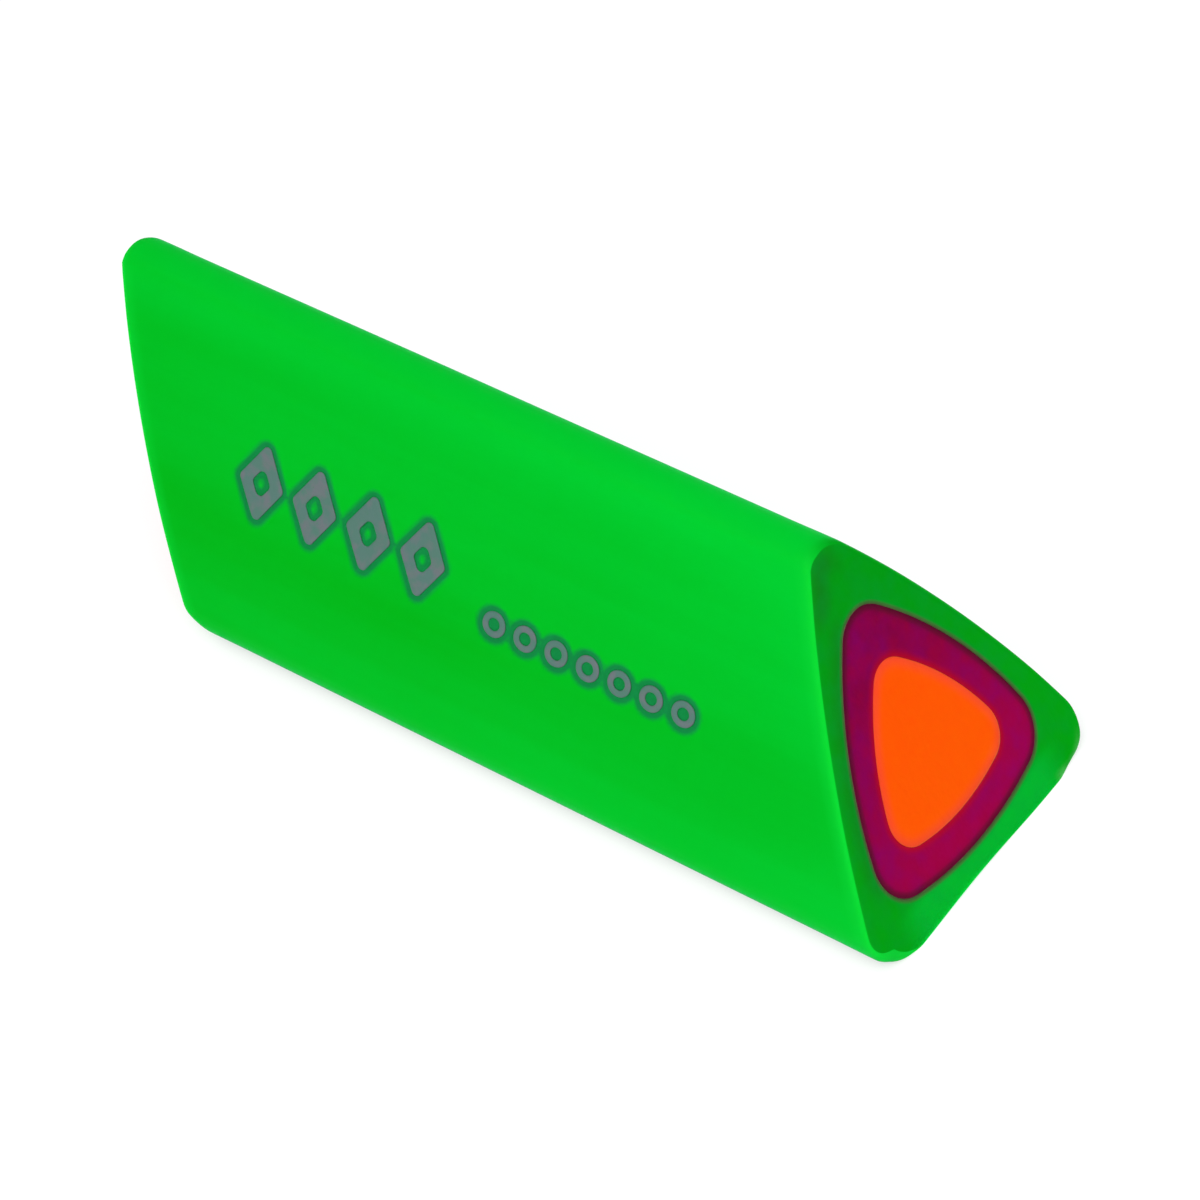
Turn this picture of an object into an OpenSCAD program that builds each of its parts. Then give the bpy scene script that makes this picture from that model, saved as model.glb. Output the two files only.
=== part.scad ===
// Stubby triangular block of soft eraser compound, extruded in three bonded
// colour layers and cut off on a slant at both ends. It lies on one long side.
// X runs along the block, Y across it and Z up from the flat underside. The
// origin is on the underside, midway between the two furthest points along X.

/* [Block] */
// Length of one long edge, measured along the block
edge_length = 41.5; // [36:0.5:80]
// Lean of both cut ends away from square
cut_lean = 28; // [0:1:35]

/* [Outer layer] */
// Width across the underside
outer_width = 17.6; // [16:0.1:22]
// Height from the underside to the ridge
outer_height = 16.6; // [16:0.1:22]
// Radius of its three long edges
outer_edge_r = 1.8; // [0.6:0.1:2.4]
// Radius of the gentle swell of its two upper sides
outer_side_r = 58; // [30:1:200]

/* [Middle layer] */
// Width of the middle layer
middle_width = 12.75; // [10:0.05:13.5]
// Height of the middle layer, from its lowest point to its ridge
middle_height = 12.1; // [10:0.05:12.8]
// Height of its lowest point above the underside of the block
middle_lift = 1.15; // [0.6:0.05:1.6]
// Radius of its three long edges
middle_edge_r = 2; // [0.6:0.1:2.6]
// Radius of the swell of its three sides
middle_side_r = 19.75; // [15:0.25:60]

/* [Core] */
// Width of the core
core_width = 8.7; // [5:0.1:9.4]
// Height of the core, from its lowest point to its ridge
core_height = 7.75; // [5:0.05:8.4]
// Height of its lowest point above the underside of the block
core_lift = 2.85; // [2:0.05:3.4]
// Radius of its three long edges
core_edge_r = 1.45; // [0.5:0.05:1.8]
// Radius of the swell of its three sides
core_side_r = 13; // [9:0.25:40]

/* [Print] */
// Thickness of the ink film
ink_thickness = 0.04; // [0.02:0.01:0.2]
// Distance from the far end of the ridge to the print
print_start = 10; // [9:0.5:12]
// Height of the print's base line, measured up the slope of the side
print_base = 5.7; // [3:0.1:7]
// Space between the lozenges and the rings
print_gap = 2.6; // [1:0.1:4]
// Number of large lozenges
lozenge_count = 4; // [1:1:5]
// Height of a lozenge
lozenge_height = 4.4; // [2:0.1:5]
// Width of a lozenge
lozenge_width = 2.8; // [1.8:0.1:3.2]
// Spacing of the lozenges
lozenge_pitch = 3.35; // [3.25:0.05:4]
// Width of the inked line of a lozenge
lozenge_line = 0.7; // [0.3:0.05:0.8]
// Number of small rings
ring_count = 7; // [1:1:8]
// Outer diameter of a ring
ring_diameter = 1.35; // [1.1:0.05:1.6]
// Width of the inked line of a ring
ring_line = 0.35; // [0.2:0.05:0.45]
// Spacing of the rings
ring_pitch = 1.85; // [1.7:0.05:2.1]

/* [Hidden] */

INK = "#8a9a95";
// Steps in the outline of a long edge, of a swelling side and of a lozenge's point
EDGE_STEPS = 18;
SIDE_STEPS = 16;
POINT_STEPS = 6;
// Radius that rounds the points of a lozenge
POINT_R = 0.3;
// Bars are made this much too long, and then cut
SPARE = 2;
// Centre of the swell of a side that is flat
FAR_ABOVE = [0, 1e6];

// How far the top of a cut end stands back from its foot
cut_setback = outer_height * tan(cut_lean);
overall_length = edge_length + cut_setback;

// The cross-section of a layer is a list of these five sizes
WIDTH = 0;
LOWEST = 1;
HEIGHT = 2;
EDGE_R = 3;
SIDE_R = 4;
outer_section = [outer_width, 0, outer_height, outer_edge_r, outer_side_r];
middle_section = [middle_width, middle_lift, middle_height, middle_edge_r, middle_side_r];
core_section = [core_width, core_lift, core_height, core_edge_r, core_side_r];

function heading(v) = atan2(v[1], v[0]);

// The angle a, turned on until it is past the angle b
function past(a, b) = a < b ? past(a + 360, b) : a;

function arc(centre, r, from, to, steps) = [
    for (i = [0:steps])
        let (a = from + (to - from) * i / steps)
        centre + r * [cos(a), sin(a)]
];

// Height of the centres of the two lower edges, over a flat or a swelling underside
function lower_edge_z(section, flat) =
    let (
        reach = section[SIDE_R] - section[EDGE_R],
        half_span = section[WIDTH] / 2 - section[EDGE_R]
    )
    section[LOWEST] + (flat
        ? section[EDGE_R]
        : section[SIDE_R] - sqrt(reach * reach - half_span * half_span));

// Centres of the three long edges in the cross-section: right, ridge, left
function edge_centres(section, flat) =
    let (
        y = section[WIDTH] / 2 - section[EDGE_R],
        z = lower_edge_z(section, flat),
        ridge_z = section[LOWEST] + section[HEIGHT] - section[EDGE_R]
    )
    [[y, z], [0, ridge_z], [-y, z]];

// Centre of the side that swells out between the edges centred on a and b
function swell_centre(a, b, reach) =
    let (half = (b - a) / 2, along = half / norm(half))
    a + half + [-along[1], along[0]] * sqrt(reach * reach - half * half);

function swell_centres(section, flat) =
    let (
        edges = edge_centres(section, flat),
        reach = section[SIDE_R] - section[EDGE_R]
    )
    [
        swell_centre(edges[0], edges[1], reach),
        swell_centre(edges[1], edges[2], reach),
        flat ? FAR_ABOVE : swell_centre(edges[2], edges[0], reach)
    ];

// Outline of a cross-section, grown outwards by an even amount: round each edge
// from the side before it to the side after it, then along that side
function outline(section, flat = false, grow = 0) =
    let (
        edges = edge_centres(section, flat),
        swells = swell_centres(section, flat)
    )
    [for (i = [0:2])
        let (
            before = heading(edges[i] - swells[(i + 2) % 3]),
            after = past(heading(edges[i] - swells[i]), before),
            next = past(heading(edges[(i + 1) % 3] - swells[i]), after),
            step = (next - after) / SIDE_STEPS,
            edge = arc(edges[i], section[EDGE_R] + grow, before, after, EDGE_STEPS),
            side = flat && i == 2
                ? []
                : arc(swells[i], section[SIDE_R] + grow, after + step, next - step, SIDE_STEPS - 2)
        )
        each concat(edge, side)];

outer_outline = outline(outer_section, flat = true);
middle_outline = outline(middle_section);
core_outline = outline(core_section);

// The inked side rises from the left edge to the ridge
left_edge = edge_centres(outer_section, true)[2];
ridge_edge = edge_centres(outer_section, true)[1];
inked_slope = heading(ridge_edge - left_edge);
inked_foot = left_edge + outer_edge_r * [-sin(inked_slope), cos(inked_slope)];

// Where the two rows of print begin
large_start = print_start - overall_length / 2;
small_start = large_start + (lozenge_count - 1) * lozenge_pitch + lozenge_width + print_gap;

// A straight bar of the given cross-section along X
module bar(length) {
    rotate([90, 0, 90])
        linear_extrude(height = length, center = true)
            children();
}

// The block in side view: both cut ends lean the same way
module side_view() {
    foot = overall_length / 2;
    polygon([
        [foot - edge_length, 0],
        [foot, 0],
        [foot - cut_setback, outer_height],
        [-foot, outer_height]
    ]);
}

// A bar of the given cross-section, cut off on a slant at both ends
module cut_bar() {
    intersection() {
        bar(overall_length + SPARE)
            children();
        rotate([90, 0, 0])
            linear_extrude(height = outer_width + SPARE, center = true)
                side_view();
    }
}

module outer_layer() {
    color("#00c820")
        cut_bar()
            difference() {
                polygon(outer_outline);
                polygon(middle_outline);
            }
}

module middle_layer() {
    color("#90004a")
        cut_bar()
            difference() {
                polygon(middle_outline);
                polygon(core_outline);
            }
}

module core() {
    color("#ff5900")
        cut_bar()
            polygon(core_outline);
}

// An ink film on the side, in the given flat shapes: their x is along the block
// and their y is up the slope of the side
module inked() {
    color(INK)
        intersection() {
            translate([0, inked_foot[0], inked_foot[1]])
                rotate([inked_slope, 0, 0])
                    linear_extrude(height = SPARE)
                        children();
            bar(overall_length)
                difference() {
                    polygon(outline(outer_section, flat = true, grow = ink_thickness));
                    polygon(outer_outline);
                }
        }
}

// A lozenge with rounded points, whose sides stand in by inset from full size
module lozenge(inset) {
    lean = atan2(lozenge_height, lozenge_width);
    point_x = lozenge_width / 2 - (inset + POINT_R) / sin(lean);
    point_y = lozenge_height / 2 - (inset + POINT_R) / cos(lean);
    polygon(concat(
        arc([point_x, 0], POINT_R, lean - 90, 90 - lean, POINT_STEPS),
        arc([0, point_y], POINT_R, 90 - lean, 90 + lean, POINT_STEPS),
        arc([-point_x, 0], POINT_R, 90 + lean, 270 - lean, POINT_STEPS),
        arc([0, -point_y], POINT_R, 270 - lean, 270 + lean, POINT_STEPS)
    ));
}

// A row of open lozenges
module large_print() {
    inked()
        for (i = [0:lozenge_count - 1])
            translate([
                large_start + lozenge_width / 2 + i * lozenge_pitch,
                print_base + lozenge_height / 2
            ])
                difference() {
                    lozenge(inset = 0);
                    lozenge(inset = lozenge_line);
                }
}

// A row of rings on the same base line
module small_print() {
    inked()
        for (i = [0:ring_count - 1])
            translate([
                small_start + ring_diameter / 2 + i * ring_pitch,
                print_base + ring_diameter / 2
            ])
                difference() {
                    circle(d = ring_diameter, $fn = 48);
                    circle(d = ring_diameter - 2 * ring_line, $fn = 48);
                }
}

outer_layer();
middle_layer();
core();
large_print();
small_print();
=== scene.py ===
"""Looks for the three-layer triangular block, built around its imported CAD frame.

The block is an extruded bar, so every point on it has a place in its cross-section,
(y, z), and a distance along the bar from the near cut end. bar_point() turns those
into row-frame coordinates. Sizes are in millimetres until a mesh is made.
"""

import math

import bmesh
import bpy
import numpy as np
from mathutils import Matrix, Vector, noise


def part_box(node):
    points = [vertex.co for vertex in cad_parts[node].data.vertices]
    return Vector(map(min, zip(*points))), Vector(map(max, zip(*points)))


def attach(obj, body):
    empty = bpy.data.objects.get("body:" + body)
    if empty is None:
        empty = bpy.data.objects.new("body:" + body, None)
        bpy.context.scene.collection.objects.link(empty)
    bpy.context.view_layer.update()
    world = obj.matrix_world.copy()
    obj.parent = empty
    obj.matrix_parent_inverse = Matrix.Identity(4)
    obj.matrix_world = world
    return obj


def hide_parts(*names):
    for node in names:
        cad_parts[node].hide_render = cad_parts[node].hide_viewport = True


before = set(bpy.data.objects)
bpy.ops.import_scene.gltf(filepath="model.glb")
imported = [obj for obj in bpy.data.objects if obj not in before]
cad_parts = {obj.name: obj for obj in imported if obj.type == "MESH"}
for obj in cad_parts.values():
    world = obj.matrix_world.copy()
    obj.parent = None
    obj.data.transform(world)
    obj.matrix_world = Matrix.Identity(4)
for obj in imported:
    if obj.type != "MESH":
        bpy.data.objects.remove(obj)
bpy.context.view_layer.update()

MM = 0.001

# ---------------------------------------------------------------- sizes of the block
CUT_LEAN = math.radians(28)
EDGE_R = {"outer_layer": 1.8, "middle_layer": 2.0, "core": 1.45}
SIDE_R = {"outer_layer": 58.0, "middle_layer": 19.75, "core": 13.0}
FAR_ABOVE = 1e6

# The ridge has a flatter crown, turning this far, and then a tighter shoulder on the
# printed side
CROWN_TURN = math.radians(12)
SHOULDER_R = 1.0

# Steps in an outline, along the bar and across a cut face, the share of a solid cut
# face that lies inside its first ring, and the gap between a rim and the next ring
EDGE_STEPS = 20
CROWN_STEPS = 3
SIDE_STEPS = 72
BAR_STEP = 0.25
FACE_STEPS = 20
ROUND_STEPS = 7
FIRST_RING = 0.02
STATION_GAP = 0.1

# A pair that is handed to rise() is (where an effect begins, where it is full). A
# HEIGHT is z and a PLACE is y in the cross-section. A FACING is the upward part of a
# normal: 1 faces up, -1 faces down. The other pairs are distances.

# Softened edges where a cut meets the sides: radius everywhere, how much it varies,
# and how much more there is at the ridge. The softening reaches ROLL times further
# along the bar than across the cut.
RIM_R = 0.12
RIM_R_SPREAD = 0.03
RIM_WAVE_SIZE = 3.0
RIM_R_RIDGE = {"near": 0.04, "far": 0.1}
RIDGE_FACING = (0.55, 0.95)
ROLL = 3.0
ROLL_FACING = (-0.6, 0.0)
SEAM_R = 0.05

# The lower corners are worn blunt: the middle of the wear, (y, z), the extra radius
# of the rim there and how far the wear reaches
BLUNT_CORNERS = (((-7.9, 0.4), 0.65, 2.0), ((7.3, 0.0), 0.4, 1.5))

# The rim stays sharper along the foot of a cut, where the blade came out
SHARP_FOOT = 0.75
FOOT_FACING = (-0.8, -0.95)

# The cut faces stand in a little everywhere, and more on one side, where the blade ran
# askew. They shrank into shallow bowls, each layer a little differently, with slow
# waves that die out towards the rim.
CUT_CLEARANCE = 0.01
SKEW = 0.05
SKEW_PLACE = (6.0, 0.0)
BOWL = 0.08
BOWL_WIDTH = 2.0
BLADE_WAVE = 0.015
BLADE_WAVE_SIZE = (4.0, 9.0, 1.0)
BLADE_WAVE_EDGE = (0.0, 1.0)
LAYER_SET = {"outer_layer": 0.0, "middle_layer": 0.01, "core": -0.005}

# The burr that the blade left on one lower corner: the middles and half lengths of its
# two tongues across the bar, how wide it is, how high it stands and how far it runs
# along the bar
BURR_TONGUES = ((6.3, 0.7), (7.6, 1.0))
BURR_WIDTH = (0.5, 0.0)
BURR_HEIGHT = (1.4, 1.0)
BURR_LENGTH = (1.0, 0.0)

# Slow unevenness of the extruded sides, away from the cuts and the underside, and the
# hollow of the underside
SIDE_WAVE = 0.03
SIDE_WAVE_SIZE = (14.0, 2.2, 2.2)
SIDE_WAVE_HEIGHT = (0.3, 1.3)
SIDE_WAVE_FROM_END = (1.0, 3.0)
SIDE_WAVE_LEVEL = 0.3
HOLLOW = 0.09
HOLLOW_MIDDLE = -1.3
HOLLOW_REACH = 5.6

# Each kind of unevenness has its own noise
BLADE_SEED = 3
SIDE_SEED = 7
RIM_SEED = 11

# Colour at the seams: how far one blends into the layer inside it and outside it
SEAM_BLEND_IN = (0.6, 0.0)
SEAM_BLEND_OUT = (0.42, 0.0)

# Colour of the cut: painted light makes it paler towards its foot, along a slight tilt
FOOT_LIGHT_MIDDLE = 6.0
FOOT_LIGHT_REACH = 11.0
FOOT_LIGHT_TILT = 0.15
# A strip of painted light lies along the foot
LIGHT_STRIP_HEIGHT = (2.0, 1.2)
LIGHT_STRIP_PLACE = (7.2, 4.8)
# Shade lies round the middle layer on the printed side, and in a band under the ridge
SHADE_WIDTH = (1.3, 0.0)
SHADE_HEIGHT = (2.0, 4.0)
SHADE_PLACE = (-0.3, -1.8)
TOP_SHADE_HEIGHT = (13.4, 14.6)
TOP_SHADE_PLACE = (1.2, -0.3)
TOP_SHADE_MIDDLE = 0.7
TOP_SHADE_REACH = 1.0

# Colour of the rims: how far their painted highlight reaches along the side and over the cut.
# The highlight is painted on the printed side only; on the other side the rim of the side
# takes the darker cut colour, as painted shade.
RIM_PAINTED_REACH = (0.75, 0.0)
EDGE_HIGHLIGHT = (0.25, 0.0)
PRINTED_PLACE = (1.5, -1.5)
# Painted shade along the foot of the sides
FOOT_SHADE_HEIGHT = (1.4, 0.6)

# Painted sheen on the sides, a paler and bluer green: the least there is, how much more there
# is away from a band at one height, towards the ridge and towards the near cut, and how it
# falls off along the bar from a place where it is even
PAINTED_SHEEN_LEAST = 0.12
PAINTED_SHEEN_BAND = 0.4
PAINTED_SHEEN_BAND_MIDDLE = 6.6
PAINTED_SHEEN_BAND_REACH = 4.5
PAINTED_SHEEN_RIDGE = 0.32
PAINTED_SHEEN_RIDGE_HEIGHT = (14.2, 16.2)
PAINTED_SHEEN_CUT = 0.22
PAINTED_SHEEN_CUT_LENGTH = 3.5
PAINTED_SHEEN_SLOPE = 0.3
PAINTED_SHEEN_EVEN_AT = 0.45

# ---------------------------------------------------------------- sizes of the print
PRINT_START = 10.0
PRINT_BASE = 5.7
PRINT_GAP = 2.6
LOZENGE_COUNT = 4
LOZENGE_SIZE = (2.8, 4.4)
LOZENGE_PITCH = 3.35
LOZENGE_LINE = 0.7
POINT_R = 0.3
RING_COUNT = 7
RING_R = 0.675
RING_LINE = 0.35
RING_PITCH = 1.85
# The print is pressed into the side, and the ink lies in the pressed hollow, with its
# foot sunk a little below it
PRESS_DEPTH = 0.07
PRESS_WIDTH = (0.5, 0.0)
PRESS_FACING = -0.6
INK_SUNK = 0.01
INK_THICKNESS = 0.045
INK_EDGE = 0.05
# The rounded edge of the ink, as (share of INK_EDGE inward, share of the thickness)
INK_ROUNDING = ((0, 0), (0.3, 0.6), (0.7, 0.9), (1.0, 1.0))
# Steps in the outline of a lozenge's point, a lozenge and a ring
POINT_STEPS = 8
LOZENGE_STEPS = 96
RING_STEPS = 48

outer_low, outer_high = (np.array(corner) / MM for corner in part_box("outer_layer"))
foot_x = outer_high[0]
bar_length = (outer_high[0] - outer_low[0]) - outer_high[2] * math.tan(CUT_LEAN)


# ---------------------------------------------------------------- cross-sections
def heading(v):
    return math.atan2(v[1], v[0])


def past(a, b):
    """The angle a, turned on until it is past the angle b."""
    while a < b:
        a += 2 * math.pi
    return a


def swell_centre(a, b, reach):
    """Centre of the side that swells out between the edges centred on a and b."""
    half = (b - a) / 2
    along = half / np.linalg.norm(half)
    return a + half + np.array([-along[1], along[0]]) * math.sqrt(reach**2 - half @ half)


def section_centres(node):
    """Centres of a layer's three long edges, and of the three sides that follow them."""
    low, high = (np.array(corner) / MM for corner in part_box(node))
    edge_r, side_r = EDGE_R[node], SIDE_R[node]
    reach = side_r - edge_r
    half_span = high[1] - edge_r
    ridge_z = high[2] - edge_r
    if node == "outer_layer":
        lower_z = low[2] + edge_r
    else:
        lower_z = low[2] + side_r - math.sqrt(reach**2 - half_span**2)
    edges = np.array([[half_span, lower_z], [0, ridge_z], [-half_span, lower_z]])
    swells = [swell_centre(edges[i], edges[(i + 1) % 3], reach) for i in range(3)]
    if node == "outer_layer":
        swells[2] = np.array([0, FAR_ABOVE])
    return edges, swells


def on_arc(centre, radius, start, end, steps):
    """Points and outward normals on an arc, without its last point."""
    angles = start + (end - start) * np.arange(steps) / steps
    normals = np.column_stack([np.cos(angles), np.sin(angles)])
    return centre + radius * normals, normals


def ridge_outline(centre, radius, before, after):
    """The ridge of the block, in three arcs that run smoothly into each other."""
    top = math.pi / 2
    shoulder_turn = after - top - CROWN_TURN
    gained = (1 - math.cos(shoulder_turn)) / (math.cos(shoulder_turn) - math.cos(after - top))
    crown_r = radius + (radius - SHOULDER_R) * gained
    crown = centre + np.array([0, radius - crown_r])
    turned = top + CROWN_TURN
    shoulder = crown + (crown_r - SHOULDER_R) * np.array([math.cos(turned), math.sin(turned)])
    half_steps = EDGE_STEPS // 2
    arcs = (
        on_arc(centre, radius, before, top, half_steps),
        on_arc(crown, crown_r, top, turned, CROWN_STEPS),
        on_arc(shoulder, SHOULDER_R, turned, after, half_steps - CROWN_STEPS),
    )
    return [np.concatenate(parts) for parts in zip(*arcs)]


def section_outline(node):
    """Points and outward normals round a layer's cross-section, anticlockwise."""
    edges, swells = section_centres(node)
    points, normals = [], []
    for i in range(3):
        following = (i + 1) % 3
        before = heading(edges[i] - swells[i - 1])
        after = past(heading(edges[i] - swells[i]), before)
        end = past(heading(edges[following] - swells[i]), after)
        if node == "outer_layer" and i == 1:
            p, n = ridge_outline(edges[i], EDGE_R[node], before, after)
        else:
            p, n = on_arc(edges[i], EDGE_R[node], before, after, EDGE_STEPS)
        points.append(p)
        normals.append(n)
        if swells[i][1] == FAR_ABOVE:
            share = (np.arange(SIDE_STEPS) / SIDE_STEPS)[:, None]
            down = np.array([0, -EDGE_R[node]])
            p = (edges[i] + down) * (1 - share) + (edges[following] + down) * share
            n = np.tile([0.0, -1.0], (SIDE_STEPS, 1))
        else:
            p, n = on_arc(swells[i], SIDE_R[node], after, end, SIDE_STEPS)
        points.append(p)
        normals.append(n)
    return np.concatenate(points), np.concatenate(normals)


def bar_point(section_points, along):
    """Row-frame points of cross-section points at a distance along the bar."""
    x = foot_x - along - section_points[:, 1] * math.tan(CUT_LEAN)
    return np.column_stack([x, section_points])


def smooth_step(value):
    t = np.clip(value, 0, 1)
    return t * t * (3 - 2 * t)


def rise(value, start, full):
    """0 up to start, rising smoothly to 1 at full, which may be the lower of the two."""
    return smooth_step((value - start) / (full - start))


def bump(value, middle, reach):
    """1 at the middle, falling smoothly to 0 at that reach on both sides."""
    return smooth_step(1 - np.abs(value - middle) / reach)


def outline_distance(points, outline):
    """Distance from each point to a closed outline."""
    step = np.roll(outline, -1, axis=0) - outline
    offset = points[:, None] - outline
    share = np.clip((offset * step).sum(axis=2) / (step**2).sum(axis=1), 0, 1)
    return np.linalg.norm(offset - share[:, :, None] * step, axis=2).min(axis=1)


def noise_at(points, size, seed):
    """Smooth noise from -1 to 1 at each point, with features of about that size."""
    away = Vector((seed, 0, 0))
    return np.array([noise.noise(Vector(p / size) + away) for p in points])


def section_noise(points, size, seed):
    """noise_at for cross-section points."""
    return noise_at(np.column_stack([points, np.zeros(len(points))]), size, seed)


sections = {node: section_outline(node) for node in EDGE_R}
outer_section = sections["outer_layer"]

# ---------------------------------------------------------------- the printed side
outer_edges, _ = section_centres("outer_layer")
slope = heading(outer_edges[1] - outer_edges[2])
slope_up = np.array([math.cos(slope), math.sin(slope)])
slope_out = np.array([-math.sin(slope), math.cos(slope)])
inked_foot = outer_edges[2] + EDGE_R["outer_layer"] * slope_out
swell_middle = section_centres("outer_layer")[1][1]


def lozenge_centres():
    start = outer_low[0] + PRINT_START + LOZENGE_SIZE[0] / 2
    height = PRINT_BASE + LOZENGE_SIZE[1] / 2
    return [(start + i * LOZENGE_PITCH, height) for i in range(LOZENGE_COUNT)]


def ring_centres():
    last = lozenge_centres()[-1][0]
    start = last + LOZENGE_SIZE[0] / 2 + PRINT_GAP + RING_R
    return [(start + i * RING_PITCH, PRINT_BASE + RING_R) for i in range(RING_COUNT)]


def lozenge_reach(inset):
    """Half width and half height of a lozenge whose sides stand in by inset."""
    half = np.array(LOZENGE_SIZE) / 2
    return half - inset * np.linalg.norm(half) / half[::-1]


def side_coordinates(points):
    """Row-frame points as (along the block, up the slope of the printed side)."""
    return np.column_stack([points[:, 0], (points[:, 1:] - inked_foot) @ slope_up])


def on_side(flat_points, height):
    """Row-frame points at a height above the swelling printed side."""
    chord = inked_foot + flat_points[:, 1:] * slope_up
    out = chord - swell_middle
    along = out @ slope_up
    rise = np.sqrt((SIDE_R["outer_layer"] + height) ** 2 - along**2) - out @ slope_out
    return np.column_stack([flat_points[:, 0], chord + rise[:, None] * slope_out])


def lozenge_distance(points, centre):
    """Signed distance from a lozenge with rounded points, negative inside."""
    reach = lozenge_reach(POINT_R)
    offset = np.abs(points - centre)
    side = reach * (-1, 1)
    start = np.array([reach[0], 0])
    share = np.clip((offset - start) @ side / (side @ side), 0, 1)
    gap = offset - start - share[:, None] * side
    outside = np.sign(gap @ reach[::-1])
    return outside * np.linalg.norm(gap, axis=1) - POINT_R


def print_distance(points):
    """Distance from the nearest printed mark, 0 or less under the ink."""
    nearest = np.full(len(points), 1e3)
    for centre in lozenge_centres():
        away = lozenge_distance(points, centre)
        nearest = np.minimum(nearest, np.maximum(away, -LOZENGE_LINE - away))
    for centre in ring_centres():
        away = np.linalg.norm(points - centre, axis=1) - RING_R
        nearest = np.minimum(nearest, np.maximum(away, -RING_LINE - away))
    return nearest


# ---------------------------------------------------------------- meshes from rings
def loft(name, rings, closed, bands):
    """A mesh skinned over rings of points. closed joins the last ring to the first;
    otherwise the first and last rings are filled with a fan. bands gives the material
    index of each strip of faces between one ring and the next."""
    count = len(rings[0])
    vertices = np.concatenate(rings)
    faces, indices = [], []
    for i in range(len(rings) if closed else len(rings) - 1):
        here, there = i * count, (i + 1) % len(rings) * count
        for j in range(count):
            k = (j + 1) % count
            faces.append((here + j, here + k, there + k, there + j))
        indices += [bands[i]] * count
    if not closed:
        for ring, band in ((0, bands[0]), (len(rings) - 1, bands[-1])):
            middle = len(vertices)
            vertices = np.vstack([vertices, rings[ring].mean(axis=0)])
            start = ring * count
            faces += [(start + j, start + (j + 1) % count, middle) for j in range(count)]
            indices += [band] * count
    mesh = bpy.data.meshes.new(name)
    mesh.from_pydata((vertices * MM).tolist(), [], faces)
    mesh.polygons.foreach_set("material_index", indices)
    mesh.polygons.foreach_set("use_smooth", [True] * len(faces))
    face_outwards(mesh)
    piece = bpy.data.objects.new(name, mesh)
    bpy.context.scene.collection.objects.link(piece)
    return piece


def face_outwards(mesh):
    working = bmesh.new()
    working.from_mesh(mesh)
    bmesh.ops.recalc_face_normals(working, faces=working.faces)
    working.to_mesh(mesh)
    working.free()
    mesh.update()


def rounding():
    """Shares of an edge's radius, (inward, along), from the cut face to the side."""
    steps = np.arange(ROUND_STEPS + 1) / ROUND_STEPS
    return [((1 - t) ** 2, t**2) for t in steps]


# ---------------------------------------------------------------- the three layers
def burr_at(points):
    """Where the burr stands, from 0 to 1, on cross-section points."""
    tongues = sum(bump(points[:, 0], middle, reach) for middle, reach in BURR_TONGUES)
    rim = rise(outline_distance(points, outer_section[0]), *BURR_WIDTH)
    return tongues * rim * rise(points[:, 1], *BURR_HEIGHT)


def cut_depth(points, node):
    """How far a cut face lies in from the plane of the cut."""
    inward = outline_distance(points, outer_section[0])
    bowl = BOWL * (1 - (1 - np.minimum(inward / BOWL_WIDTH, 1)) ** 2)
    wave = 0.5 + 0.5 * section_noise(points, BLADE_WAVE_SIZE, BLADE_SEED)
    wave *= rise(inward, *BLADE_WAVE_EDGE)
    askew = SKEW * rise(points[:, 0], *SKEW_PLACE)
    return CUT_CLEARANCE + askew + bowl + LAYER_SET[node] + BLADE_WAVE * wave


def rim_radius(node, points, normals, end):
    """How far each point of a cut face's outer edge is rounded off, inward and along."""
    if node != "outer_layer":
        return np.full(len(points), SEAM_R), np.full(len(points), SEAM_R)
    uneven = section_noise(points, RIM_WAVE_SIZE, RIM_SEED)
    ridge = rise(normals[:, 1], *RIDGE_FACING)
    radius = RIM_R + RIM_R_SPREAD * uneven + RIM_R_RIDGE[end] * ridge
    foot = rise(normals[:, 1], *FOOT_FACING)
    radius *= 1 - SHARP_FOOT * np.maximum(foot, burr_at(points))
    for middle, extra, reach in BLUNT_CORNERS:
        away = np.linalg.norm(points - middle, axis=1)
        radius += extra * smooth_step(1 - away / reach)
    return radius, radius * (1 + (ROLL - 1) * rise(normals[:, 1], *ROLL_FACING))


def face_rings(node, outer, inner, inward):
    """Rings of one cut face, from its inner edge out to its outer edge, closest
    together at both, as (section points, depth from the plane of the cut)."""
    outer_points, outer_normals = outer
    start = inner[0] + SEAM_R * inner[1] if inner else outer_points.mean(axis=0)
    end = outer_points - inward[:, None] * outer_normals
    rings = []
    for i in range(FACE_STEPS + 1):
        share = 0.5 - 0.5 * math.cos(math.pi * i / FACE_STEPS)
        if not inner:
            share = max(share, FIRST_RING)
        points = start * (1 - share) + end * share
        rings.append((points, cut_depth(points, node)))
    return rings


def end_rings(node, outer, inner, end):
    """Rings over one end, from the inner wall, over the cut face, to the outer side.
    Each is (section points, distance along the bar from the plane of the cut)."""
    rings = []
    points, normals = outer
    inward, along = rim_radius(node, points, normals, end)
    face = face_rings(node, outer, inner, inward)
    if inner:
        for step_in, step_along in reversed(rounding()[1:]):
            wall = inner[0] + SEAM_R * step_in * inner[1]
            rings.append((wall, face[0][1] + SEAM_R * step_along))
    rings += face
    for step_in, step_along in rounding()[1:]:
        rim = points - (inward * step_in)[:, None] * normals
        rings.append((rim, face[-1][1] + along * step_along))
    return rings


def side_stations():
    """Distances along the bar of the rings on the sides, clear of both rims."""
    margin = ROLL * (RIM_R + RIM_R_SPREAD + RIM_R_RIDGE["far"]) + SKEW + BOWL + STATION_GAP
    count = round((bar_length - 2 * margin) / BAR_STEP)
    return np.linspace(margin, bar_length - margin, count)


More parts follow.
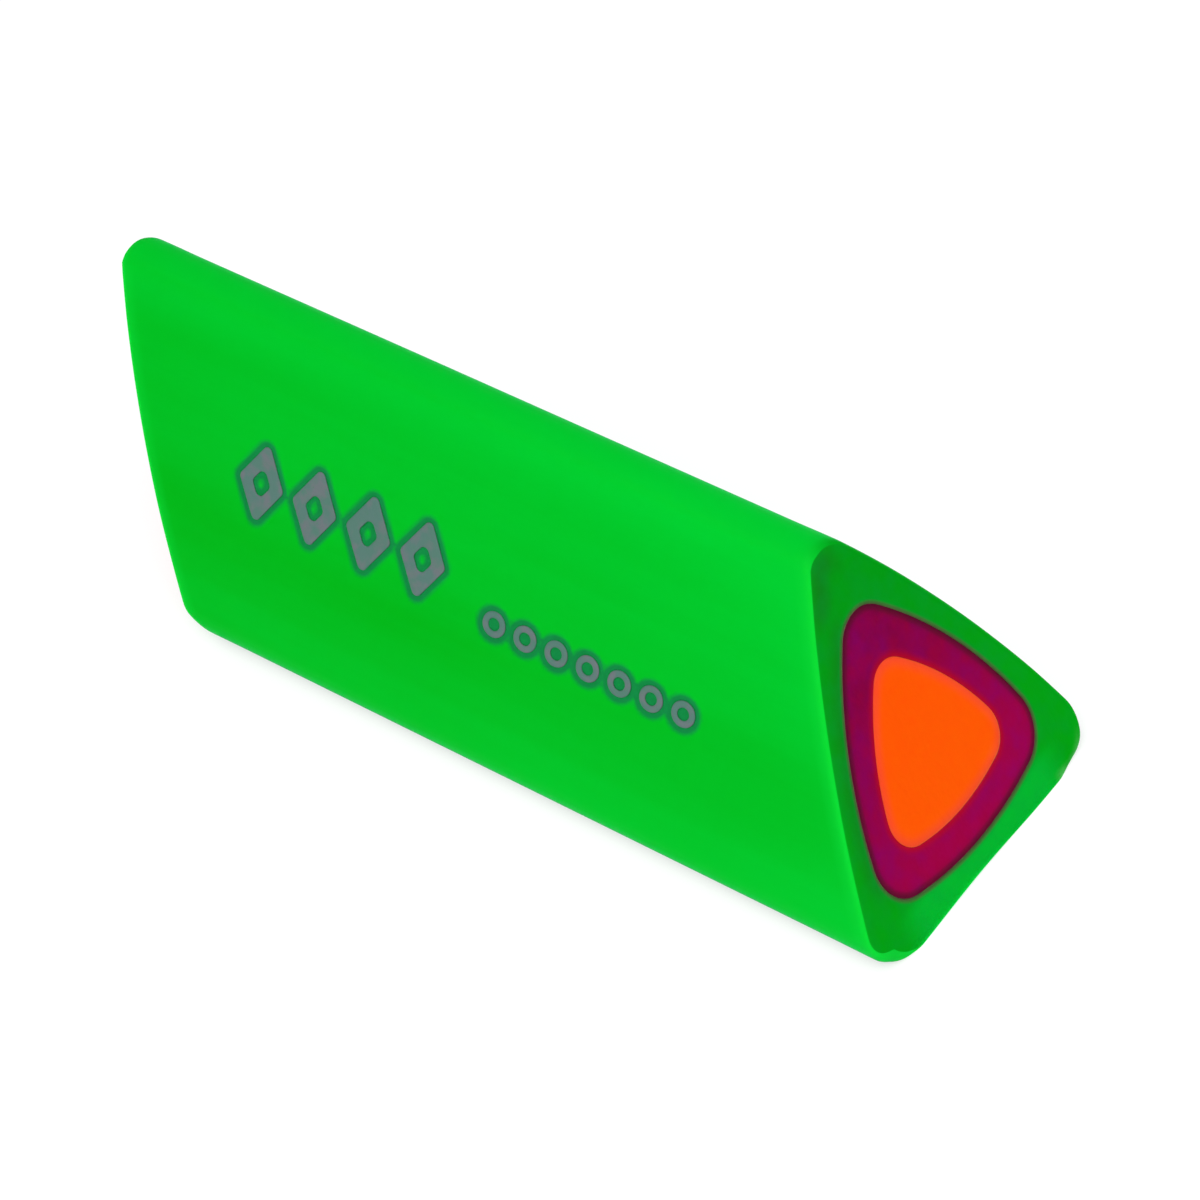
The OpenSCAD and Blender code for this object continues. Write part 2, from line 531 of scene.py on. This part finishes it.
def layer_piece(node, inner_node):
    """A layer as one closed mesh: material 0 on its long sides, 1 on its cut faces."""
    outer = sections[node]
    inner = sections[inner_node] if inner_node else None
    near_end = end_rings(node, outer, inner, "near")
    near = [bar_point(points, along) for points, along in near_end]
    sides = [bar_point(outer[0], along) for along in side_stations()]
    far_end = end_rings(node, outer, inner, "far")
    far = [bar_point(points, bar_length - along) for points, along in reversed(far_end)]
    end_bands = [1] * (len(near_end) - 1 - ROUND_STEPS) + [0] * ROUND_STEPS
    bands = end_bands + [0] * (len(sides) + 1) + end_bands[::-1] + [0]
    rings = near + sides + far
    piece = loft(node + "_skin", rings, closed=inner is not None, bands=bands)
    mark_cut_faces(piece.data, outer, inner)
    return piece


def store(mesh, name, values):
    """Keeps one value from 0 to 1 for each vertex, for the materials to read."""
    mesh.attributes.new(name, "FLOAT", "POINT").data.foreach_set("value", values)


def along_bar(co):
    """Distance of row-frame points from the near cut, and from the nearer one."""
    along = foot_x - co[:, 0] - co[:, 2] * math.tan(CUT_LEAN)
    return along, np.minimum(along, bar_length - along)


def mark_cut_faces(mesh, outer, inner):
    """Stores what colours the cut faces: how close each point is to the seams round its
    layer, how much painted light makes it paler towards the foot, and where the painted
    light strip at the foot, the shade, the painted highlight at the edge and the burr,
    with its painted highlight, are."""
    co = np.array([v.co for v in mesh.vertices]) / MM
    _, from_end = along_bar(co)
    on_face = np.flatnonzero(from_end < 2 * (SKEW + BOWL))
    points = co[on_face, 1:]
    seams = (("seam_out", outer, SEAM_BLEND_IN), ("seam_in", inner, SEAM_BLEND_OUT))
    for name, section, blend in seams:
        values = np.zeros(len(co))
        if section:
            values[on_face] = rise(outline_distance(points, section[0]), *blend)
        store(mesh, name, values)
    y, z = points.T
    painted_foot_light, strip, shade, edge, burr = (np.zeros(len(co)) for _ in range(5))
    # Painted light: the cut faces turn paler towards the foot, along a slight tilt
    painted_foot_light[on_face] = np.clip(0.5 + (FOOT_LIGHT_TILT * y - (z - FOOT_LIGHT_MIDDLE)) / FOOT_LIGHT_REACH, 0, 1)
    # A strip of painted light along the foot of the cut
    strip[on_face] = rise(z, *LIGHT_STRIP_HEIGHT) * rise(np.abs(y), *LIGHT_STRIP_PLACE)
    inward = outline_distance(points, outer_section[0])
    from_seam = outline_distance(points, sections["middle_layer"][0])
    beside = rise(from_seam, *SHADE_WIDTH) * rise(z, *SHADE_HEIGHT) * rise(y, *SHADE_PLACE)
    top = rise(z, *TOP_SHADE_HEIGHT) * rise(y, *TOP_SHADE_PLACE)
    top *= bump(inward, TOP_SHADE_MIDDLE, TOP_SHADE_REACH)
    shade[on_face] = np.maximum(beside, top)
    # A painted highlight along the edge of the cut face on the printed side
    edge[on_face] = rise(inward, *EDGE_HIGHLIGHT) * rise(y, *PRINTED_PLACE)
    at_end = np.flatnonzero(from_end < BURR_LENGTH[0])
    burr[at_end] = burr_at(co[at_end, 1:]) * rise(from_end[at_end], *BURR_LENGTH)
    marks = {"painted_foot_light": painted_foot_light, "strip": strip, "shade": shade, "edge": edge, "burr": burr}
    for name, values in marks.items():
        store(mesh, name, values)


def shape_sides(piece):
    """Presses the print's hollow into the side, makes the sides slightly uneven and
    hollows the underside. Stores how deep each point is pressed, how much painted sheen
    it has, how close it is to a cut (rim, for a painted highlight on the printed side, and
    for painted shade on the other) and how close to the foot of the side, for painted shade there."""
    mesh = piece.data
    co = np.array([v.co for v in mesh.vertices]) / MM
    normals = np.array([v.normal for v in mesh.vertices])
    along, from_end = along_bar(co)
    pressed = rise(print_distance(side_coordinates(co)), *PRESS_WIDTH)
    pressed *= normals[:, 1] < PRESS_FACING
    wave = 0.5 + 0.5 * noise_at(co, SIDE_WAVE_SIZE, SIDE_SEED)
    wave *= rise(from_end, *SIDE_WAVE_FROM_END) * rise(co[:, 2], *SIDE_WAVE_HEIGHT)
    wave *= np.abs(normals[:, 0]) < SIDE_WAVE_LEVEL
    store(mesh, "pressed", pressed)
    # How much painted sheen each point of the sides has
    store(mesh, "sheen", painted_sheen_at(along, co[:, 2]))
    printed = rise(co[:, 1], *PRINTED_PLACE)
    # Near a cut: a painted highlight on the printed side, and painted shade in the cut colour on
    # the other side
    rim = rise(from_end, *RIM_PAINTED_REACH)
    store(mesh, "rim", rim * printed)
    store(mesh, "painted_rim_shade", rim * (1 - printed))
    # Painted shade towards the foot of the sides
    store(mesh, "foot", rise(co[:, 2], *FOOT_SHADE_HEIGHT) * (1 - rim))
    co -= normals * (PRESS_DEPTH * pressed + SIDE_WAVE * wave)[:, None]
    lift = HOLLOW * bump(co[:, 1], HOLLOW_MIDDLE, HOLLOW_REACH)
    lift *= rise(co[:, 2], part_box("middle_layer")[0][2] / MM, 0)
    co[:, 2] += lift
    co[:, 0] -= lift * math.tan(CUT_LEAN)
    mesh.vertices.foreach_set("co", (co * MM).ravel())
    mesh.update()


def painted_sheen_at(along, z):
    """Painted sheen on the sides, a paler and bluer green: more towards the ridge, the foot
    and the near cut, and least on a band a little under half of the way up."""
    sheen = PAINTED_SHEEN_LEAST + PAINTED_SHEEN_RIDGE * rise(z, *PAINTED_SHEEN_RIDGE_HEIGHT)
    sheen += PAINTED_SHEEN_BAND * rise(np.abs(z - PAINTED_SHEEN_BAND_MIDDLE), 0, PAINTED_SHEEN_BAND_REACH)
    sheen += PAINTED_SHEEN_CUT * np.exp(-along / PAINTED_SHEEN_CUT_LENGTH)
    sheen += PAINTED_SHEEN_SLOPE * (PAINTED_SHEEN_EVEN_AT - along / bar_length)
    return np.clip(sheen, 0, 1)


# ---------------------------------------------------------------- the print
def lozenge_outline(centre, inset):
    """Outline of a lozenge with rounded points, standing in by inset."""
    reach_x, reach_y = lozenge_reach(inset + POINT_R)
    turn = math.atan2(LOZENGE_SIZE[0], LOZENGE_SIZE[1])
    corners = (
        ((reach_x, 0), -turn, turn),
        ((0, reach_y), turn, math.pi - turn),
        ((-reach_x, 0), math.pi - turn, math.pi + turn),
        ((0, -reach_y), math.pi + turn, 2 * math.pi - turn),
    )
    points = []
    for (x, y), start, end in corners:
        arc, _ = on_arc(np.array([x, y]), POINT_R, start, end, POINT_STEPS)
        points.append(arc)
    return np.array(centre) + resampled(np.concatenate(points), LOZENGE_STEPS)


def resampled(points, count):
    """A closed outline's points, spread evenly along it."""
    closed = np.vstack([points, points[:1]])
    lengths = np.concatenate([[0], np.cumsum(np.linalg.norm(np.diff(closed, axis=0), axis=1))])
    at = np.arange(count) / count * lengths[-1]
    return np.column_stack([np.interp(at, lengths, closed[:, axis]) for axis in range(2)])


def ring_outline(centre, radius):
    turns = np.linspace(0, 2 * math.pi, RING_STEPS, endpoint=False)
    return np.array(centre) + radius * np.column_stack([np.cos(turns), np.sin(turns)])


def mark_rings(outline, opening):
    """Rings over an ink mark, from its foot, over its rounded edges, to its opening."""
    floor = -PRESS_DEPTH - INK_SUNK
    reach = np.linalg.norm(outline - opening, axis=1)[:, None]
    edge = [(INK_EDGE * share / reach, height) for share, height in INK_ROUNDING]
    rings = []
    for share, height in edge + [(0.5, 1.0)]:
        rings.append(on_side(outline + (opening - outline) * share, floor + INK_THICKNESS * height))
    for share, height in reversed(edge):
        rings.append(on_side(opening + (outline - opening) * share, floor + INK_THICKNESS * height))
    return rings


def mark(outline, opening):
    rings = mark_rings(outline, opening)
    return loft("mark", rings, closed=True, bands=[0] * len(rings))


def joined(name, parts):
    """Several meshes as one object."""
    working = bmesh.new()
    for part in parts:
        working.from_mesh(part.data)
        bpy.data.objects.remove(part)
    mesh = bpy.data.meshes.new(name)
    working.to_mesh(mesh)
    working.free()
    piece = bpy.data.objects.new(name, mesh)
    bpy.context.scene.collection.objects.link(piece)
    return piece


def large_print():
    centres = lozenge_centres()
    marks = [mark(lozenge_outline(c, 0), lozenge_outline(c, LOZENGE_LINE)) for c in centres]
    return joined("large_print_ink", marks)


def small_print():
    centres = ring_centres()
    marks = [mark(ring_outline(c, RING_R), ring_outline(c, RING_R - RING_LINE)) for c in centres]
    return joined("small_print_ink", marks)


# ---------------------------------------------------------------- materials
class Nodes:
    """A material's node tree, built with short calls."""

    def __init__(self, name):
        self.material = bpy.data.materials.new(name)
        self.material.use_nodes = True
        self.tree = self.material.node_tree
        self.shader = self.tree.nodes["Principled BSDF"]
        self.place = self.new("ShaderNodeTexCoord").outputs["Object"]

    def new(self, kind, **settings):
        node = self.tree.nodes.new(kind)
        for key, value in settings.items():
            setattr(node, key, value)
        return node

    def link(self, source, target):
        self.tree.links.new(source, target)

    def noise(self, stretch, scale, detail=2.0, roughness=0.5):
        """Noise from about 0 to 1 in object space, stretched by dividing each axis."""
        mapping = self.new("ShaderNodeMapping")
        mapping.inputs["Scale"].default_value = [scale / s for s in stretch]
        self.link(self.place, mapping.inputs["Vector"])
        texture = self.new("ShaderNodeTexNoise")
        texture.inputs["Scale"].default_value = 1.0
        texture.inputs["Detail"].default_value = detail
        texture.inputs["Roughness"].default_value = roughness
        self.link(mapping.outputs["Vector"], texture.inputs["Vector"])
        return texture.outputs["Fac"]

    def ramp(self, value, low, high, low_to=0.0, high_to=1.0):
        """value from low..high as low_to..high_to."""
        node = self.new("ShaderNodeMapRange")
        node.inputs["From Min"].default_value = low
        node.inputs["From Max"].default_value = high
        node.inputs["To Min"].default_value = low_to
        node.inputs["To Max"].default_value = high_to
        self.link(value, node.inputs["Value"])
        return node.outputs["Result"]

    def mix(self, factor, a, b, blend="MIX"):
        node = self.new("ShaderNodeMix", data_type="RGBA", blend_type=blend)
        self.put(factor, node.inputs["Factor"])
        self.put(a, node.inputs["A"])
        self.put(b, node.inputs["B"])
        return node.outputs["Result"]

    def put(self, value, socket):
        if isinstance(value, bpy.types.NodeSocket):
            self.link(value, socket)
        elif isinstance(value, (tuple, list)):
            socket.default_value = (*value, 1.0)
        else:
            socket.default_value = value

    def attribute(self, name):
        """A value stored on the mesh's points."""
        return self.new("ShaderNodeAttribute", attribute_name=name).outputs["Fac"]

    def sum(self, a, b):
        node = self.new("ShaderNodeMath", operation="ADD")
        self.link(a, node.inputs[0])
        self.link(b, node.inputs[1])
        return node.outputs["Value"]

    def bumps(self, layers):
        """Bump layers of (height, distance in metres), one over the other."""
        normal = None
        for height, distance in layers:
            bump = self.new("ShaderNodeBump")
            bump.inputs["Distance"].default_value = distance
            bump.inputs["Strength"].default_value = 1.0
            self.link(height, bump.inputs["Height"])
            if normal:
                self.link(normal, bump.inputs["Normal"])
            normal = bump.outputs["Normal"]
        self.link(normal, self.shader.inputs["Normal"])

    def surface(self, roughness, specular, soften):
        """Uniform values, set on the shader itself. soften is how far light spreads
        under the surface, in metres."""
        inputs = self.shader.inputs
        inputs["Specular IOR Level"].default_value = specular
        inputs["Roughness"].default_value = roughness
        if soften:
            inputs["Subsurface Weight"].default_value = 1.0
            inputs["Subsurface Radius"].default_value = (1.0, 1.0, 1.0)
            inputs["Subsurface Scale"].default_value = soften

    def sheen(self, weight, tint, roughness):
        """The powdery sheen of soft compound, seen at a slant."""
        inputs = self.shader.inputs
        inputs["Sheen Weight"].default_value = weight
        inputs["Sheen Tint"].default_value = (*tint, 1.0)
        inputs["Sheen Roughness"].default_value = roughness


# Colours, linear
GREEN_SIDE = (0.0001, 0.405, 0.0060)
# Painted sheen of the sides, paler and bluer
GREEN_PAINTED_SHEEN = (0.0003, 0.515, 0.0240)
# Painted highlight of the rims
GREEN_RIM_HIGHLIGHT = (0.0030, 0.570, 0.0310)
# Painted shade at the foot of the sides
GREEN_FOOT_SHADE = (0.0080, 0.200, 0.0330)
# Painted shade of the print's pressed hollow
GREEN_PRESS_SHADE = (0.006, 0.180, 0.058)
# The cut faces' green: the sides' green, painted darker as shade
GREEN_CUT_SHADED_BASE = (0.0001, 0.300, 0.0050)
# Cut colours paler towards the foot: painted light
GREEN_CUT_LIT = (0.0001, 0.335, 0.0040)
# Painted light of the strip along the foot of the cut
GREEN_CUT_LIGHT_STRIP = (0.0004, 0.440, 0.0240)
GREEN_CUT_SHADE = (0.0030, 0.215, 0.0080)
GREEN_CUT_COOL = (0.0020, 0.290, 0.0360)
GREEN_SEAM = (0.060, 0.085, 0.030)
# Painted highlight on the burr
BURR_HIGHLIGHT = (0.110, 0.480, 0.130)
PURPLE = (0.205, 0.0001, 0.047)
# Painted light towards the foot of the purple cut
PURPLE_LIT = (0.350, 0.0001, 0.066)
PURPLE_VIOLET = (0.215, 0.0003, 0.120)
PURPLE_RED = (0.320, 0.0003, 0.030)
PURPLE_SEAM = (0.075, 0.0040, 0.016)
RED_SEAM = (0.420, 0.0020, 0.010)
ORANGE = (0.97, 0.088, 0.0003)
# Painted light towards the foot of the orange cut
ORANGE_LIT = (0.97, 0.098, 0.0003)
ORANGE_SEAM = (0.90, 0.070, 0.022)
INK = (0.068, 0.150, 0.128)
INK_WARM = (0.125, 0.130, 0.150)
INK_THIN = (0.04, 0.17, 0.08)
FLOOR_DARK = (0.40, 0.395, 0.40)
FLOOR_PALE = (0.42, 0.415, 0.42)

# The floor gives off light of its own, so that it is white with a faint shadow
FLOOR_GLOW = 0.62


def side_material():
    nodes = Nodes("green_side")
    streaks = nodes.noise((30, 1, 1), 900, detail=3)
    clouds = nodes.noise((3, 1, 1), 160, detail=2)
    uneven = nodes.ramp(nodes.sum(streaks, clouds), 0.7, 1.3, -0.12, 0.12)
    # Painted sheen: the sides' green turns paler and bluer
    sheen = nodes.sum(nodes.attribute("sheen"), uneven)
    tone = nodes.mix(sheen, GREEN_SIDE, GREEN_PAINTED_SHEEN)
    # Painted highlight along the rims on the printed side, and painted shade in the cut colour on
    # the other side
    tone = nodes.mix(nodes.attribute("rim"), tone, GREEN_RIM_HIGHLIGHT)
    tone = nodes.mix(nodes.attribute("painted_rim_shade"), tone, GREEN_CUT_SHADED_BASE)
    # Painted shade towards the foot of the sides
    tone = nodes.mix(nodes.attribute("foot"), tone, GREEN_FOOT_SHADE)
    # A painted highlight where the burr stands
    tone = nodes.mix(nodes.ramp(nodes.attribute("burr"), 0, 1, 0, 0.7), tone, BURR_HIGHLIGHT)
    # Painted shade: darker green in the pressed hollow round the print
    press_shade = nodes.ramp(nodes.attribute("pressed"), 0.05, 0.6, 0.0, 0.85)
    tone = nodes.mix(press_shade, tone, GREEN_PRESS_SHADE)
    nodes.link(tone, nodes.shader.inputs["Base Color"])
    grain = nodes.noise((1, 1, 1), 9000, detail=2)
    lines = nodes.noise((60, 1, 1), 2200, detail=2)
    nodes.bumps([(lines, 0.000012), (grain, 0.000006)])
    nodes.surface(roughness=0.5, specular=0.012, soften=0.0003)
    nodes.sheen(weight=0.10, tint=(0.0, 0.75, 1.0), roughness=0.35)
    return nodes.material


def cut_material(name, tones):
    """A cut face: tones are (source, start, strength, colour), laid over the first
    colour in turn. A source is a stored attribute, or the scale of some slow noise, and
    its tone grows from nothing at start to strength at 1."""
    nodes = Nodes(name)
    colour = tones[0]
    for source, start, strength, tone in tones[1:]:
        if isinstance(source, str):
            value = nodes.attribute(source)
        else:
            value = nodes.ramp(nodes.noise((1, 1, 1), source, detail=3), 0.4, 0.7)
        colour = nodes.mix(nodes.ramp(value, start, 1, 0, strength), colour, tone)
    nodes.link(colour, nodes.shader.inputs["Base Color"])
    drag = nodes.noise((1, 1, 22), 3600, detail=3)
    crumb = nodes.noise((1, 1, 1), 7000, detail=3, roughness=0.6)
    nodes.bumps([(drag, 0.000025), (crumb, 0.000012)])
    nodes.surface(roughness=0.6, specular=0.012, soften=0.0003)
    return nodes.material


def green_cut_material():
    return cut_material("green_cut", [
        # the sides' green, painted darker as shade
        GREEN_CUT_SHADED_BASE,
        # painted light towards the foot
        ("painted_foot_light", 0, 1.0, GREEN_CUT_LIT),
        ("shade", 0, 1.0, GREEN_CUT_SHADE),
        # painted light along the foot
        ("strip", 0, 1.0, GREEN_CUT_LIGHT_STRIP),
        (900, 0, 0.25, GREEN_CUT_COOL),
        # Painted highlight along the edge on the printed side
        ("edge", 0, 0.4, GREEN_RIM_HIGHLIGHT),
        ("seam_in", 0, 0.6, GREEN_CUT_COOL),
        ("seam_in", 0.45, 0.95, GREEN_SEAM),
        # painted highlight on the burr
        ("burr", 0, 0.7, BURR_HIGHLIGHT),
    ])


def purple_cut_material():
    return cut_material("purple_cut", [
        PURPLE,
        # painted light towards the foot
        ("painted_foot_light", 0, 1.0, PURPLE_LIT),
        (600, 0, 0.55, PURPLE_VIOLET),
        (1100, 0, 0.4, PURPLE_RED),
        ("seam_out", 0, 0.35, PURPLE_SEAM),
        ("seam_out", 0.4, 0.85, PURPLE_SEAM),
        ("seam_in", 0, 0.85, RED_SEAM),
    ])


def orange_cut_material():
    return cut_material("orange_cut", [
        ORANGE,
        # painted light towards the foot
        ("painted_foot_light", 0, 1.0, ORANGE_LIT),
        ("seam_out", 0, 0.9, ORANGE_SEAM),
    ])


def ink_material():
    nodes = Nodes("grey_ink")
    speckle = nodes.noise((1, 1, 1), 5200, detail=4, roughness=0.65)
    cover = nodes.noise((2, 1, 1), 900, detail=2)
    warm = nodes.noise((1, 1, 1), 1400, detail=2)
    tone = nodes.mix(nodes.ramp(warm, 0.45, 0.65, 0.0, 0.8), INK, INK_WARM)
    tone = nodes.mix(nodes.ramp(cover, 0.4, 0.8, 0.0, 0.3), tone, INK_THIN)
    tone = nodes.mix(nodes.ramp(speckle, 0.62, 0.72, 0.0, 0.6), tone, INK_THIN)
    nodes.link(tone, nodes.shader.inputs["Base Color"])
    nodes.bumps([(speckle, 0.000008)])
    nodes.surface(roughness=0.5, specular=0.3, soften=0)
    return nodes.material


def floor_material():
    nodes = Nodes("pale_floor")
    fibres = nodes.noise((1, 1, 1), 60, detail=2)
    tone = nodes.mix(fibres, FLOOR_DARK, FLOOR_PALE)
    nodes.link(tone, nodes.shader.inputs["Base Color"])
    nodes.surface(roughness=0.8, specular=0.1, soften=0)
    nodes.shader.inputs["Emission Color"].default_value = (1, 1, 1, 1)
    nodes.shader.inputs["Emission Strength"].default_value = FLOOR_GLOW
    return nodes.material


# ---------------------------------------------------------------- the studio
# Lengths here are in metres
CAMERA_AZIMUTH = math.radians(41.519)
CAMERA_ELEVATION = math.radians(46.290)
CAMERA_ROLL = math.radians(-7.674)
CAMERA_DISTANCE = 0.21962
CAMERA_AIM = Vector((0.002636, 0, 0.005690))
CAMERA_LENS = 135.184

LIGHT_AIM = Vector((0, 0, 0.008))
SKY_COLOUR = (0.97, 0.985, 1, 1)
SKY_STRENGTH = 0.56


def add_camera():
    """The camera, from its direction, roll and distance to the point it aims at."""
    sin_a, cos_a = math.sin(CAMERA_AZIMUTH), math.cos(CAMERA_AZIMUTH)
    sin_e, cos_e = math.sin(CAMERA_ELEVATION), math.cos(CAMERA_ELEVATION)
    back = Vector((sin_a * cos_e, -cos_a * cos_e, sin_e))
    level = Vector((cos_a, sin_a, 0))
    upright = back.cross(level)
    right = math.cos(CAMERA_ROLL) * level + math.sin(CAMERA_ROLL) * upright
    up = back.cross(right)
    data = bpy.data.cameras.new("camera")
    data.lens = CAMERA_LENS
    data.sensor_width = 36
    data.clip_start = 0.01
    camera = bpy.data.objects.new("camera", data)
    turned = Matrix((right, up, back)).transposed().to_4x4()
    camera.matrix_world = Matrix.Translation(CAMERA_AIM + CAMERA_DISTANCE * back) @ turned
    bpy.context.scene.collection.objects.link(camera)
    bpy.context.scene.camera = camera


def add_softbox(name, direction, distance, size, power):
    """A square area light that faces the block from a direction."""
    data = bpy.data.lights.new(name, "AREA")
    data.shape = "SQUARE"
    data.size = size
    data.energy = power
    light = bpy.data.objects.new(name, data)
    towards = Vector(direction).normalized()
    light.location = LIGHT_AIM + towards * distance
    light.rotation_euler = towards.to_track_quat("Z", "Y").to_euler()
    bpy.context.scene.collection.objects.link(light)


def add_studio():
    world = bpy.data.worlds.new("soft_white")
    world.use_nodes = True
    sky = world.node_tree.nodes["Background"].inputs
    sky["Color"].default_value = SKY_COLOUR
    sky["Strength"].default_value = SKY_STRENGTH
    bpy.context.scene.world = world
    add_softbox("key", (-0.1, -0.4, 1.0), 0.5, 0.4, 1.1)
    add_softbox("fill", (0.5, -0.55, 0.8), 0.34, 0.25, 0.51)
    bpy.ops.mesh.primitive_grid_add(x_subdivisions=2, y_subdivisions=2, size=3)
    floor = bpy.context.object
    floor.name = "floor"
    floor.data.materials.append(floor_material())
    bpy.context.scene.view_settings.view_transform = "Standard"


# ---------------------------------------------------------------- the scene
def dress(piece, node, materials):
    for material in materials:
        piece.data.materials.append(material)
    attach(piece, "root")
    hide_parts(node)


def build():
    outer = layer_piece("outer_layer", "middle_layer")
    shape_sides(outer)
    dress(outer, "outer_layer", [side_material(), green_cut_material()])
    middle = layer_piece("middle_layer", "core")
    purple = purple_cut_material()
    dress(middle, "middle_layer", [purple, purple])
    core = layer_piece("core", None)
    orange = orange_cut_material()
    dress(core, "core", [orange, orange])
    ink = ink_material()
    dress(large_print(), "large_print", [ink])
    dress(small_print(), "small_print", [ink])


add_studio()
add_camera()
build()
